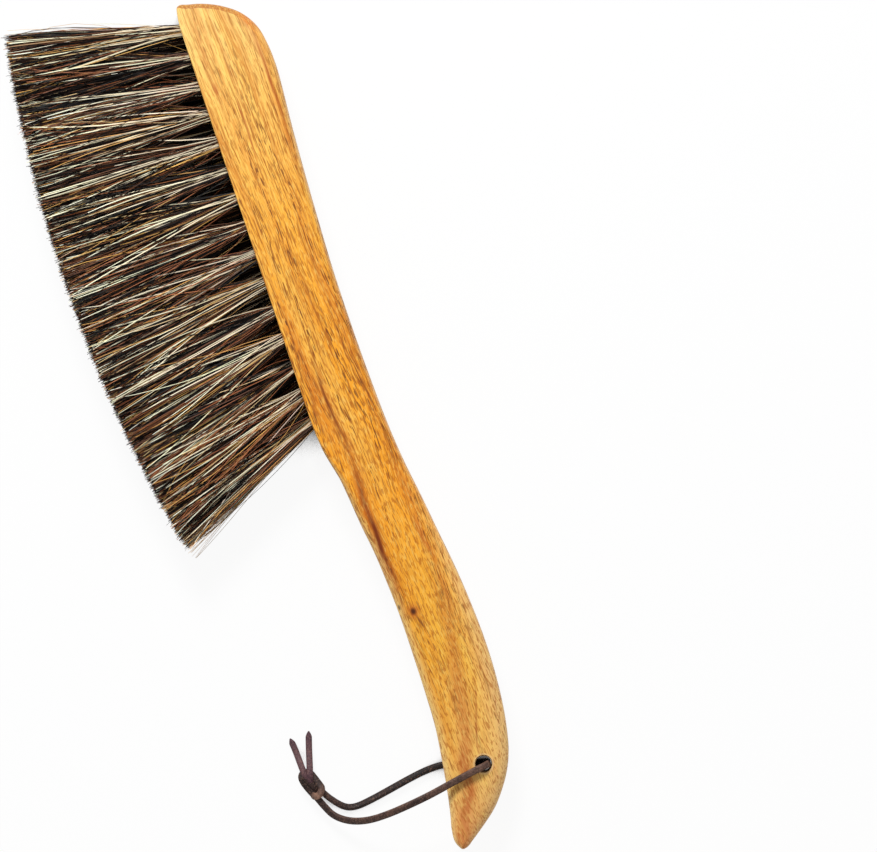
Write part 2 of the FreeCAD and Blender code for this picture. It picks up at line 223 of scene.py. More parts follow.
class Finish:
    """A procedural material: its methods add nodes and link or set their inputs."""

    def __init__(self, name):
        self.material = bpy.data.materials.new(name)
        self.material.use_nodes = True
        self.tree = self.material.node_tree
        self.shader = self.tree.nodes["Principled BSDF"]

    def put(self, socket, value):
        """Links an output to a socket, or sets the socket to a constant."""
        if isinstance(value, bpy.types.NodeSocket):
            self.tree.links.new(value, socket)
        else:
            socket.default_value = value

    def add(self, kind, inputs=(), output=0, **settings):
        """Adds a node of a kind and gives one of its outputs."""
        node = self.tree.nodes.new("ShaderNode" + kind)
        for key, value in settings.items():
            setattr(node, key, value)
        for key, value in dict(inputs).items():
            self.put(node.inputs[key], value)
        return node.outputs[output]

    def place(self):
        """Object coordinates."""
        return self.add("TexCoord", output=3)

    def noise(self, place, scale, detail=2.0, roughness=0.5, shift=(0, 0, 0)):
        """Noise with its own scale along each axis."""
        stretched = self.add("Mapping", {"Vector": place, "Location": shift, "Scale": scale})
        return self.add("TexNoise", {
            "Vector": stretched, "Scale": 1.0, "Detail": detail, "Roughness": roughness,
        })

    def calc(self, operation, a, b=0.0, c=0.0):
        """One step of arithmetic."""
        return self.add("Math", {0: a, 1: b, 2: c}, operation=operation)

    def times(self, a, b):
        """The product of two values."""
        return self.calc("MULTIPLY", a, b)

    def band(self, value, low, high, to_low=0.0, to_high=1.0):
        """A smooth step from one value to another."""
        return self.add("MapRange", {
            "Value": value, "From Min": low, "From Max": high, "To Min": to_low, "To Max": to_high,
        }, interpolation_type="SMOOTHSTEP")

    def mix(self, share, a, b, strength=1.0):
        """One colour laid over another by a share, times a strength."""
        node = self.tree.nodes.new("ShaderNodeMix")
        node.data_type = "RGBA"
        plain = not isinstance(strength, bpy.types.NodeSocket) and strength == 1.0
        share = share if plain else self.times(share, strength)
        self.put(node.inputs[0], share)
        self.put(node.inputs[6], a)
        self.put(node.inputs[7], b)
        return node.outputs[2]

    def ramp(self, value, stops):
        """A colour read off stops between 0 and 1."""
        node = self.tree.nodes.new("ShaderNodeValToRGB")
        self.put(node.inputs[0], value)
        elements = node.color_ramp.elements
        while len(elements) < len(stops):
            elements.new(0.5)
        for element, (position, colour) in zip(elements, stops):
            element.position, element.color = position, colour
        return node.outputs[0]

    def graph(self, value, points, low, high):
        """A value read off a line through points whose first number lies between low and high."""
        share = self.add("MapRange", {"Value": value, "From Min": low, "From Max": high})
        least, most = min(p[1] for p in points), max(p[1] for p in points)
        grey = [((x - low) / (high - low), ((y - least) / (most - least),) * 3 + (1,)) for x, y in points]
        return self.calc("MULTIPLY_ADD", self.ramp(share, grey), most - least, least)

    def shade(self, **values):
        """Links or sets the shader's own inputs."""
        for key, value in values.items():
            self.put(self.shader.inputs[key.replace("_", " ")], value)


# Streaks of the plank, in millimetres of the broom's frame: a line of places along and across it, the
# streak's half width, its strength along the line, its colour and how much of it shows at most
SOFT_STREAKS = [
    ([(30, -9.2), (41, -8.9), (60, -8.2), (84, -7.8), (100, -6.5)], 3.2,
     [(25, 0), (45, 0.6), (70, 0.8), (90, 0.4), (104, 0)], (206, 100, 24), 0.7),
    ([(60, -4.4), (74, -4.8), (80, -4.3), (87, -3.7), (92, -2.6), (104, -2.6), (117.5, -3.4), (129, -2.5),
      (139.5, -2.7), (145, -1.6), (152, -1.2), (165, -0.6)], 3.0,
     [(56, 0), (72, 0.5), (100, 0.4), (112, 0.8), (122, 1), (148, 1), (156, 0.6), (168, 0)],
     (190, 74, 18), 0.85),
    ([(108, 13), (118, 13.9), (125, 14.6), (132, 13.9), (139, 14.2), (144, 15.6), (160, 16.2)], 2.0,
     [(100, 0), (120, 0.6), (126, 0.3), (133, 0.9), (140, 0.9), (148, 0.5), (160, 0.4), (175, 0)],
     (196, 92, 34), 0.7),
    ([(100, -1), (150, 1), (172, 1.1), (185, 0.7), (199, 0.3), (212, -0.7), (235, -7)], 6.0,
     [(90, 0), (130, 0.8), (200, 0.9), (225, 0.5), (245, 0)], (250, 164, 36), 0.55),
    ([(150, 20), (178, 19.9), (192, 20.1), (204.7, 18.5), (217.7, 16.9), (230, 14), (241, 6.4)], 5.5,
     [(130, 0), (170, 0.6), (200, 0.9), (240, 0.9), (255, 0.5)], (252, 198, 124), 0.55),
    ([(150, 14.6), (172.6, 13), (183, 10.8), (193, 8.8), (202.5, 7.7), (214, 5.9), (223.5, 2.1), (234, 0.7),
      (244, -5.3), (253, -8.1)], 5.0,
     [(145, 0), (165, 0.6), (195, 0.85), (215, 0.9), (240, 0.9), (255, 0.7)], (206, 112, 50), 0.7),
    ([(218, 3), (224.6, 1.1), (236, 0.7), (244, -5.3)], 2.2,
     [(216, 0), (224, 0.8), (229, 0.5), (237, 0.8), (246, 0.3), (252, 0)], (186, 84, 36), 0.6),
    ([(-82, -6), (-67.6, -7.3), (-59, -7.8), (-51, -7.7), (-30, -7)], 1.7,
     [(-85, 0.2), (-78, 0.7), (-60, 0.8), (-45, 0.5), (-25, 0)], (212, 142, 72), 0.65),
    ([(-82, -1.4), (-77, -1.8), (-65, -0.6), (-59, -0.2), (-52, 0.1), (-30, 0)], 1.6,
     [(-85, 0.2), (-75, 0.7), (-58, 0.8), (-45, 0.4), (-25, 0)], (212, 142, 72), 0.65),
    ([(-76, 10.5), (-67, 12.3), (-62, 12.8), (-56.7, 13.3), (-50, 13.4)], 3.2,
     [(-82, 0.2), (-70, 0.8), (-58, 0.7), (-45, 0)], (222, 146, 84), 0.6),
    ([(-50, 12.4), (-34.4, 12.8), (-22.8, 13), (0, 12.8)], 2.6,
     [(-50, 0), (-38, 0.8), (-24, 0.9), (-12, 0.4), (0, 0)], (222, 126, 34), 0.6),
]
DARK_LINES = [
    ([(60, -4.4), (74, -4.8), (80, -4.3), (87, -3.7), (92, -2.6), (104, -2.6)], 0.85,
     [(58, 0), (66, 0.5), (76, 1), (86, 0.9), (94, 0.4), (102, 0.2), (110, 0)], (116, 44, 12), 0.8),
    ([(104, -2.6), (117.5, -3.4), (129, -2.5), (139.5, -2.7), (145, -1.6), (152, -1.2)], 1.5,
     [(102, 0), (114, 0.6), (121, 0.5), (127, 1), (137, 1), (142, 0.5), (150, 0.3), (155, 0)],
     (112, 38, 10), 0.9),
    ([(70, -10), (80.5, -10.1), (88, -9.4)], 0.7,
     [(68, 0), (76, 0.8), (84, 0.6), (92, 0)], (170, 80, 24), 0.7),
    ([(70, 9.9), (77, 10.8), (83.3, 11.6), (92, 11.9), (98, 12.4), (106, 12.9), (112, 13.6)], 0.45,
     [(67, 0), (73, 1), (82, 1), (86, 0.1), (91, 0.9), (103, 0.9), (109, 0)], (128, 62, 16), 0.7),
    ([(93, 12.6), (102, 13.4), (108, 14.3)], 0.4,
     [(93, 0), (96, 0.9), (106, 0.9), (110, 0)], (128, 62, 16), 0.7),
    ([(196, 15), (200.6, 14.1), (208.5, 11.7), (214, 10), (220, 8.3)], 0.7,
     [(190, 0), (202, 0.7), (216, 0.9), (222, 0.6), (226, 0)], (176, 92, 40), 0.7),
    ([(176, 19.2), (190, 19.3), (200, 19.5), (206, 19)], 0.6,
     [(172, 0), (178, 0.7), (184, 0.2), (190, 0.8), (199, 0.8), (205, 0)], (150, 84, 30), 0.7),
    ([(-68.5, 12.6), (-54.4, 13.1), (-45.8, 13.1), (-36.9, 13.7), (-31.7, 13.7), (-23.3, 13.2), (0, 12)],
     1.1,
     [(-70, 0), (-62, 0.6), (-52, 0.9), (-44, 1), (-36, 0.8), (-24, 0.5), (0, 0)], (172, 76, 22), 0.75),
    ([(-46, -0.9), (-39.5, -1.1), (-34, -0.5), (-27, -0.5), (-15, -1)], 0.6,
     [(-47, 0), (-41, 0.9), (-26, 0.9), (-17, 0)], (176, 84, 36), 0.75),
]
# Small marks in metres: middle, half lengths along and across, turn in degrees, colour and share. The
# second and third are a small knot and its heart
WOOD_MARKS = [
    ((-0.0499, -0.0074), (0.0038, 0.0013), 8, (184, 92, 40), 0.6),
    ((0.1630, 0.0014), (0.0042, 0.0034), 0, (190, 92, 32), 0.7),
    ((0.1630, 0.0014), (0.0021, 0.0017), 0, (74, 34, 14), 0.95),
    ((0.1678, 0.0028), (0.0048, 0.0008), 15.6, (124, 60, 20), 0.8),
    ((0.1599, -0.0033), (0.0016, 0.0007), 0, (70, 40, 22), 0.8),
]
GRAIN_TURN = math.radians(-3.2)
GRAIN_WANDER = 0.006
STREAK_WANDER = 0.35


def lacquered_wood():
    """Golden wood, from the ground up: a tone that warms along the plank, broad figure and soft streaks
    drawn out along the grain, paler edges that are partly sanded wood and partly painted highlight,
    painted shade and a painted highlight along the back edge, darker end grain, fine lines, light and
    dark dashes and clusters of pores, dark lines, small marks, and a painted highlight round the hole's
    rim with painted shade in its bore. Positions are metres along and across the block."""
    wood = Finish("lacquered_wood")
    place = wood.place()
    x, y = (wood.add("SeparateXYZ", {0: place}, axis) for axis in (0, 1))
    turned = wood.add("Mapping", {"Vector": place, "Rotation": (0, 0, GRAIN_TURN)})
    drift = wood.calc("SUBTRACT", wood.noise(turned, (14, 40, 40)), 0.5)
    wander = wood.times(drift, GRAIN_WANDER)
    shift = wood.add("CombineXYZ", {"Y": wander})
    grain = wood.add("VectorMath", {0: turned, 1: shift}, operation="ADD")
    reach = (-0.0855, 0.2555)

    def along_block(points):
        """A value read off a line of places along the block and their values."""
        return wood.graph(x, points, *reach)

    def grained(along, across, detail, roughness, low, high, shift=(0, 0, 0)):
        """1 in places drawn out along the grain, where noise of two scales is past a smooth step."""
        return wood.band(wood.noise(grain, (along, across, across), detail, roughness, shift), low, high)

    def streaked(tone, streaks):
        """Streaks laid over a tone: each is full along its line, which wanders a little with the grain,
        and fades out at its half width."""
        for points, width, strength, colour, most in streaks:
            line = [(along / 1000, across / 1000) for along, across in points]
            shares = [(along / 1000, share) for along, share in strength]
            off = wood.calc("SUBTRACT", y, along_block(line))
            off = wood.calc("ABSOLUTE", wood.calc("MULTIPLY_ADD", wander, STREAK_WANDER, off))
            beside = wood.band(off, width / 1000, width / 10000)
            shown = wood.times(beside, along_block(shares))
            tone = wood.mix(shown, tone, srgb(*colour), most)
        return tone

    def spot(at, size, turn):
        """1 inside a turned oval round a point, fading to 0 at its rim."""
        centred = wood.add("VectorMath", {0: place, 1: (*at, 0)}, operation="SUBTRACT")
        straight = wood.add("Mapping", {"Vector": centred, "Rotation": (0, 0, -math.radians(turn))})
        oval = wood.add("Mapping", {"Vector": straight, "Scale": (1 / size[0], 1 / size[1], 0)})
        away = wood.add("VectorMath", {0: oval}, output=1, operation="LENGTH")
        return wood.band(away, 1.0, 0.2)

    # Ground tone from toe to tip, with broad figure and soft streaks
    share = wood.add("MapRange", {"Value": x, "From Min": reach[0], "From Max": reach[1]})
    tone = wood.ramp(share, [
        (0.0, srgb(252, 212, 128)), (0.12, srgb(254, 200, 100)), (0.26, srgb(251, 179, 61)),
        (0.44, srgb(248, 166, 40)), (0.60, srgb(254, 168, 38)), (0.78, srgb(255, 189, 64)),
        (0.93, srgb(255, 203, 112)), (1.0, srgb(230, 158, 98)),
    ])
    figure = grained(6, 190, 3.0, 0.55, 0.46, 0.66)
    tone = wood.mix(figure, tone, srgb(212, 122, 38), 0.5)
    pale = grained(7, 260, 2.0, 0.5, 0.52, 0.68, (8, 2, 6))
    tone = wood.mix(pale, tone, srgb(255, 208, 98), 0.35)
    tone = streaked(tone, SOFT_STREAKS)

    # Edges: paler where they round, partly sanded wood and partly painted highlight; a darker, redder
    # painted shade where the back edge starts to round and a painted highlight on the steep back side;
    # darker end grain
    facing = wood.add("NewGeometry", output=1)
    nx, ny = (wood.add("SeparateXYZ", {0: facing}, axis) for axis in (0, 1))
    level = wood.calc("POWER", wood.calc("MULTIPLY_ADD", nx, nx, wood.times(ny, ny)), 0.5)
    towards_bristles = wood.times(ny, -1.0)
    off_side = wood.band(wood.calc("ABSOLUTE", ny), 0.999, 0.93, 0.35)
    # Paler rounded edges towards the bristles: partly sanded wood, partly painted highlight
    sanded_and_highlit = wood.times(wood.band(towards_bristles, 0.25, 0.8), along_block(
        [(-0.0855, 0.4), (0.08, 0.5), (0.12, 1.0)]))
    sanded_and_highlit = wood.times(sanded_and_highlit, off_side)
    tone = wood.mix(sanded_and_highlit, tone, srgb(255, 222, 146), 0.6)
    # The same on the rounded edges at the back of the grip: sanded wood and painted highlight
    behind_sanded_and_highlit = wood.times(wood.band(towards_bristles, -0.15, -0.6), wood.band(x, 0.10, 0.17))
    behind_sanded_and_highlit = wood.times(behind_sanded_and_highlit, off_side)
    tone = wood.mix(behind_sanded_and_highlit, tone, srgb(255, 214, 150), 0.5)
    # Painted shade: a darker, redder band where the back edge starts to round, strongest at the toe
    back_edge_shade = wood.times(wood.band(towards_bristles, -0.2, -0.4), along_block(
        [(-0.0855, 0.5), (-0.055, 0.5), (-0.035, 0.3), (0.02, 0.15), (0.12, 0)]))
    tone = wood.mix(back_edge_shade, tone, srgb(236, 156, 60))
    # Painted highlight on the steep back side of the block, fading in past the toe
    back_side_highlight = wood.times(wood.band(towards_bristles, -0.7, -0.97), wood.band(x, -0.05, -0.02))
    tone = wood.mix(back_side_highlight, tone, srgb(255, 218, 160), 0.4)
    on_end = wood.band(wood.calc("DIVIDE", wood.calc("ABSOLUTE", nx), level), 0.45, 0.9)
    end_grain = wood.times(on_end, wood.band(level, 0.3, 0.42))
    end_grain = wood.times(end_grain, wood.band(x, 0.0, -0.05))
    tone = wood.mix(end_grain, tone, srgb(158, 96, 40), 0.85)
    tone = wood.mix(spot((-0.0705, 0.0138), (0.0085, 0.0042), 48), tone, srgb(196, 98, 40), 0.5)

    # Fine grain: lines, light and dark dashes, pores in clusters, then the placed lines and marks
    lines = grained(12, 1450, 1.0, 0.4, 0.52, 0.62, (5, 1, 2))
    tone = wood.mix(lines, tone, srgb(196, 120, 38), along_block(
        [(-0.0855, 0.55), (-0.03, 0.45), (0.05, 0.4), (0.12, 0.28), (0.2555, 0.12)]))
    light = grained(300, 2000, 1.0, 0.4, 0.52, 0.66, (3, 7, 1))
    tone = wood.mix(light, tone, srgb(255, 220, 120), 0.32)
    streak = grained(150, 2150, 1.0, 0.4, 0.57, 0.62)
    tone = wood.mix(streak, tone, srgb(154, 80, 12), along_block(
        [(-0.0855, 0.35), (-0.04, 0.6), (0.06, 0.7), (0.13, 0.4), (0.2555, 0.2)]))
    flecks = grained(360, 1950, 0.5, 0.4, 0.57, 0.63, (6, 3, 8))
    tone = wood.mix(flecks, tone, srgb(176, 90, 16), along_block(
        [(-0.0855, 0.12), (0.0, 0.40), (0.10, 0.58), (0.2, 0.62), (0.2555, 0.5)]))
    clusters = grained(14, 330, 2.0, 0.5, 0.44, 0.60, (2, 9, 4))
    crowd = wood.times(clusters, along_block(
        [(-0.0855, 0.2), (-0.05, 0.5), (-0.02, 0.85), (0.05, 1), (0.12, 0.8), (0.18, 0.5), (0.2555, 0.35)]))
    pores = wood.times(grained(240, 2300, 0.5, 0.4, 0.57, 0.62, (1, 2, 5)), crowd)
    tone = wood.mix(pores, tone, srgb(108, 50, 8), 0.9)
    tone = streaked(tone, DARK_LINES)
    for at, size, turn, colour, most in WOOD_MARKS:
        tone = wood.mix(spot(at, size, turn), tone, srgb(*colour), most)

    # The hole: a painted highlight round its rim and painted shade in its bore; then the relief and gloss
    # of the whole
    centred = wood.add("Mapping", {"Vector": place, "Location": (*-THONG_HOLE, 0), "Scale": (1, 1, 0)})
    from_bore = wood.add("VectorMath", {0: centred}, output=1, operation="LENGTH")
    # Painted highlight round the hole's rim, then painted shade in its bore
    tone = wood.mix(wood.band(from_bore, 0.0044, 0.0036), tone, srgb(255, 214, 156), 0.55)
    tone = wood.mix(wood.band(from_bore, 0.0034, 0.0031), tone, srgb(72, 36, 14), 0.95)
    relief = wood.calc("MULTIPLY_ADD", pores, -1.0, wood.times(streak, -0.4))
    bump = wood.add("Bump", {"Strength": 0.12, "Distance": 0.00012, "Height": relief})
    sheen = wood.calc("MULTIPLY_ADD", pores, 0.2, 0.42)
    wood.shade(Base_Color=tone, Roughness=sheen, Normal=bump, Specular_IOR_Level=0.3)
    return wood.material


block_mesh = grid_mesh("handle_block_wood", block_surface(closed_curve(BLOCK_RING, BLOCK_COLUMNS)))
block = piece("handle_block_wood", block_mesh, lacquered_wood(), "broom", "handle_block")
bit_mesh = grid_mesh("drill_bit", turned_surface(HOLE_PROFILE, THONG_HOLE), capped=True)
drill_bit = placed("drill_bit", bit_mesh)
cut = block.modifiers.new("thong_hole", "BOOLEAN")
cut.operation, cut.object, cut.solver = "DIFFERENCE", drill_bit, "EXACT"
drilled = bpy.data.meshes.new_from_object(block.evaluated_get(bpy.context.evaluated_depsgraph_get()))
block.modifiers.clear()
block.data = drilled
bpy.data.objects.remove(drill_bit)
close_up(drilled, reach=1e-6)
drilled.materials.clear()
drilled.materials.append(block_mesh.materials[0])
drilled.polygons.foreach_set("material_index", np.zeros(len(drilled.polygons), np.int32))
drilled.set_sharp_from_angle(angle=SHARP_EDGE)


# Anchors. Short pieces of flat steel wire, driven in with the fold of each tuft so that their ends
# bite into the wood of its hole. Their solids are kept as they are.
def drawn_steel():
    """Bright drawn wire: fine lines along its length and some darker places."""
    steel = Finish("anchor_steel")
    lines = steel.noise(steel.place(), (2000, 300, 2000), 3.0)
    tone = steel.ramp(lines, [(0.3, srgb(120, 120, 122)), (0.7, srgb(168, 168, 170))])
    steel.shade(Base_Color=tone, Metallic=1.0, Roughness=steel.band(lines, 0.3, 0.7, 0.3, 0.45))
    return steel.material


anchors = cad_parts["tuft_anchors"]
anchors.data.materials.clear()
anchors.data.materials.append(drawn_steel())


# Bristles. Tufts of mixed horse hair and plant fibre, folded over the anchors and driven into blind
# holes in three staggered rows. They leave the wood as tight round bundles, spread until they merge,
# and are trimmed along a shallow arc. Dark brown and black with straw, grey and rust fibres among them.
MID_PLANE = PLANK / 2
# Rows: height beside the mid-plane in steps, shift along the row in tufts, and number of tufts
TUFT_ROWS = {"upper": (1, 0.0, 15), "middle": (0, 0.5, 14), "lower": (-1, 0.0, 15)}
# First place past the toe, run from the first to the last, and height of one step between rows
MOUTHS = (0.0097, 0.1578, 0.0063)
TIPS = (-0.0019, 0.1923, 0.008)
# Trimmed arc: its radius, how far past the toe it is deepest, and its depth below the wood there
TRIM_RADIUS, TRIM_MIDDLE, TRIM_DEPTH = 0.56, 0.084, 0.0716
# A tuft is round at its mouth and oval at its tip, along the trim and up
TUFT_RADIUS = 0.0022
TIP_SPREAD = (0.0066, 0.0038)
# Hairs in the mass of a tuft and on the outside of its row, and how deep their roots lie
MASS_HAIRS = 240
FACE_HAIRS = 270
ROOT_DEPTH = 0.003
# Section of a hair: usual radius, how much of it is left at each ring, sides, how much thicker pale
# hairs are, and how much of it stray and curled hairs have
HAIR_RADIUS = 0.000132
HAIR_TAPER = np.array([1, 1, 1, 1, 1, 0.98, 0.95, 0.88, 0.7])
RINGS = len(HAIR_TAPER)
SIDES = 3
PALE_THICKER = 1.42
STRAY_THINNER = 0.62
# Least and greatest height of a hair's tip, and of any of its points
TIP_HEIGHTS = (0.0006, 0.0241)
HAIR_HEIGHTS = (0.0005, 0.0243)
FIBRE_COLOURS = np.array([
    srgb(8, 6, 5), srgb(36, 25, 21), srgb(102, 70, 52), srgb(160, 98, 64),
    srgb(214, 162, 90), srgb(206, 176, 128), srgb(255, 238, 204),
])[:, :3]
RUST, STRAW, PALE = 3, 4, 6
# Shares of those colours in the mass and on the outside, each at the toe and at the heel
MASS_SHARES = np.array([
    [0.53, 0.25, 0.12, 0.04, 0.02, 0.01, 0.03], [0.43, 0.22, 0.16, 0.09, 0.05, 0.01, 0.04],
])
FACE_SHARES = np.array([
    [0.49, 0.18, 0.12, 0.08, 0.04, 0.025, 0.065], [0.39, 0.15, 0.12, 0.15, 0.08, 0.03, 0.08],
])
# How much the light of pale and of other hairs varies
PALE_VARIES, OTHERS_VARY = 0.06, 0.2
# A hair's colour has painted shade towards its root, where the wood shades it, and is paler at its
# tip: places along it and their light
ROOT_SHADE = ([0, 0.1, 0.35, 0.65, 1], [0.55, 0.72, 1.02, 1.05, 1.25])
# Stray hairs at the toe end (-1), between (0) and at the heel end (1): their share, and how far they
# reach past the others, as a usual and a greatest part of the tip's spread
STRAYS = {-1: (0.05, 0.25, 0.5), 0: (0, 0.25, 0.5), 1: (0.09, 0.42, 1.2)}
# Past this part of the spread, the other hairs of a tuft at an end are folded back into it
END_LIMIT = 1.2
# Shares of hairs that curl, that lie loose on the outside and in the mass, and that are broken off,
# with the places along a hair where it can break
CURLED = 0.03
LOOSE_OUTSIDE, LOOSE_INSIDE = 0.45, 0.12
BROKEN, BROKEN_AT = 0.3, (0.4, 0.98)
# Fanning out at the tip of loose hairs, of others on the outside and of others in the mass
FAN = (1.5, 0.5, 0.35)
# Trim: unevenness from hair to hair and in waves, the share of hairs that are shorter, and by how much
TRIM_UNEVEN, TRIM_WAVE = 0.0007, 0.0006
SHORTER, SHORTER_BY = 0.12, 0.005
# How far stray, curled, loose and other hairs bend, and the height and number of a hair's waves
BENDS = (0.0012, 0.012, 0.0034, 0.0009)
WAVE_HEIGHT, WAVES = 0.0003, (0.6, 1.8)
rng = np.random.default_rng(7235)


def tuft_line(level, shift, place):
    """Mouth, tip and trim direction of one tuft, by the same rule as its solid: mouths at equal steps
    along the face, tips at wider equal steps along the trimmed arc; and its share of the way to the
    heel."""
    share = (place + shift) / (TUFT_ROWS["upper"][2] - 1)
    mouth = np.array([TOE[0] + MOUTHS[0] + share * MOUTHS[1], TOE[1], MID_PLANE + level * MOUTHS[2]])
    reach = TOE[0] + TIPS[0] + share * TIPS[1]
    lean = math.asin((reach - TOE[0] - TRIM_MIDDLE) / TRIM_RADIUS)
    depth = TOE[1] - TRIM_DEPTH + TRIM_RADIUS * (1 - math.cos(lean))
    tip = np.array([reach, depth, MID_PLANE + level * TIPS[2]])
    return mouth, tip, np.array([math.cos(lean), math.sin(lean), 0.0]), share


def tuft_hairs(level, shift, place, count):
    """Hairs of one tuft: points [hair, ring, side, axis] and colours [hair, ring]. Each hair is a cubic
    Bezier line from a point of the round mouth to a point of the oval tip, bent and waved a little,
    with a three-sided section that thins towards the tip. The first hairs fill the tuft; the others
    lie on the outside of its row, where some are loose, some curl and some are broken off short. On
    the tufts at the two ends of a row some stray outwards, and the fill leans in to close the row."""
    mouth, tip, trim, share = tuft_line(level, shift, place)
    length = np.linalg.norm(tip - mouth)
    axis = (tip - mouth) / length
    up = np.array([0.0, 0.0, 1.0])
    across = np.cross(axis, up)
    across *= np.sign(across.dot(trim)) / np.linalg.norm(across)

    # What kind of hair each is
    n = MASS_HAIRS + FACE_HAIRS
    rank = np.arange(n) - MASS_HAIRS
    on_face = rank >= 0
    shares = [np.cumsum(s[0] + (s[1] - s[0]) * share**2) for s in (MASS_SHARES, FACE_SHARES)]
    draw = np.concatenate([rng.random(MASS_HAIRS), (rng.permutation(FACE_HAIRS) + 0.5) / FACE_HAIRS])
    in_mass, on_side = (np.searchsorted(s, draw * 0.999) for s in shares)
    kind = np.where(on_face, on_side, in_mass)
    outward = -1 if place == 0 else 1 if place == count - 1 else 0
    stray_share, usual_past, most_past = STRAYS[outward]
    stray = rng.random(n) < stray_share
    curl = on_face & ~stray & (rng.random(n) < CURLED) & (outward == 0)
    kind = np.where(stray, STRAW + kind % 3, np.where(curl, RUST + kind % 2, kind))

    # Where it leaves the mouth and where it ends, in parts of the mouth's radius and the tip's spread
    reach, turn = np.sqrt(rng.random(n)), rng.random(n) * 2 * math.pi
    a, b = reach * np.cos(turn), reach * np.sin(turn)
    a = np.where(on_face, 1.9 * (rank + rng.random(n)) / FACE_HAIRS - 0.95, a)
    outer = rng.uniform(0.6, 1.05, n) + np.where((kind == PALE) | curl, 0.10, 0)
    b = np.where(on_face & (level != 0), level * outer, b)
    loose = rng.random(n) < np.where(on_face, LOOSE_OUTSIDE, LOOSE_INSIDE)
    spread = np.select([loose, on_face], FAN[:2], FAN[2])
    a_tip = a * 0.98 + np.clip(rng.normal(0, 1, n), -1.6, 1.6) * spread
    folded = outward * (2 * END_LIMIT - outward * a_tip)
    a_tip = np.where(outward * a_tip > END_LIMIT, folded, a_tip)
    past = np.minimum(rng.exponential(usual_past, n), most_past)
    a_tip = a_tip + outward * np.where(stray, past, 0)
    b_face = b * rng.uniform(0.75, 1.15, n)
    b_mass = (b * 0.95 + rng.normal(0, 0.3, n)) * (1.0 if level else 1.3)
    inner = rng.random(n) * (2.3 if outward else 0.6)
    b_tip = np.where(on_face, b_face, b_mass - level * inner)

    # Its line
    root = mouth - axis * ROOT_DEPTH + np.outer(a * TUFT_RADIUS, across) + np.outer(b * TUFT_RADIUS, up)
    trimmed = rng.normal(0, TRIM_UNEVEN, n) + TRIM_WAVE * np.sin(8 * a + rng.uniform(0, 6))
    trimmed = trimmed - np.where(rng.random(n) < SHORTER, rng.exponential(SHORTER_BY, n), 0)
    end = tip + np.outer(a_tip * TIP_SPREAD[0], trim) + np.outer(trimmed, axis)
    end[:, 2] = np.clip(tip[2] + b_tip * TIP_SPREAD[1], *TIP_HEIGHTS)
    run = end - root
    bend = rng.normal(0, 1, (n, 4)) * np.select([stray, curl, loose], BENDS[:3], BENDS[3])[:, None]
    sway = bend[:, 0::2, None] * across + bend[:, 1::2, None] * up * 0.3
    c1 = root + axis * length * 0.30 + 0.10 * (run - axis * length) + sway[:, 0] * 0.6
    c2 = root + run * 0.68 + sway[:, 1]
    broken = on_face & ~stray & (rng.random(n) < BROKEN)
    t = np.linspace(0, 1, RINGS) * np.where(broken, rng.uniform(*BROKEN_AT, n), 1.0)[:, None]
    t = t[..., None]
    line = (
        root[:, None] * (1 - t) ** 3 + c1[:, None] * 3 * t * (1 - t) ** 2
        + c2[:, None] * 3 * t**2 * (1 - t) + end[:, None] * t**3
    )
    wave = np.sin(2 * math.pi * (t * rng.uniform(*WAVES, (n, 1, 1)) + rng.random((n, 1, 1)))) * t
    line = line + wave * WAVE_HEIGHT * (up + rng.normal(0, 1.2, (n, 1, 1)) * across)
    line[..., 2] = np.clip(line[..., 2], *HAIR_HEIGHTS)

    # Its colour
    varied = np.where(kind == PALE, PALE_VARIES, OTHERS_VARY)[:, None]
    colour = FIBRE_COLOURS[kind] * np.exp(rng.normal(0, 1, (n, 1)) * varied) * rng.normal(1, 0.03, (n, 3))
    # Painted shade towards the root, paler towards the tip
    fade = np.interp(np.linspace(0, 1, RINGS), *ROOT_SHADE)[None, :, None]
    colour = np.clip(colour[:, None] * fade, 0.002, 0.97)

    # Its section
    thick = rng.lognormal(math.log(HAIR_RADIUS), 0.2, n)
    thick = thick * np.where(kind == PALE, PALE_THICKER, 1.0) * np.where(stray | curl, STRAY_THINNER, 1.0)
    taper = HAIR_TAPER[None, :, None]
    flat_side = math.radians(90 if level < 0 else 30) + rng.normal(0, 0.3, n)
    any_side = rng.random(n) * 2 * math.pi
    spin = np.where(kind >= STRAW, flat_side, any_side)[:, None]
    spin = spin + np.arange(SIDES)[None] * 2 * math.pi / SIDES
    section = np.cos(spin)[..., None] * across + np.sin(spin)[..., None] * np.cross(axis, across)
    points = line[:, :, None] + section[:, None] * (thick[:, None, None] * taper)[..., None]
    return points, colour


# Bake map, in parts of a hair's cell: the edges of one side's strip, the margin beside all three, the
# first and last ring, and the corners of the face on an end
STRIP_EDGES = np.array([0.1, 0.9])
CELL_MARGIN = 0.03
RING_SPAN = (0.08, 0.92)
END_CORNERS = np.array([(0.2, 0.0), (0.8, 0.0), (0.5, 0.06)])


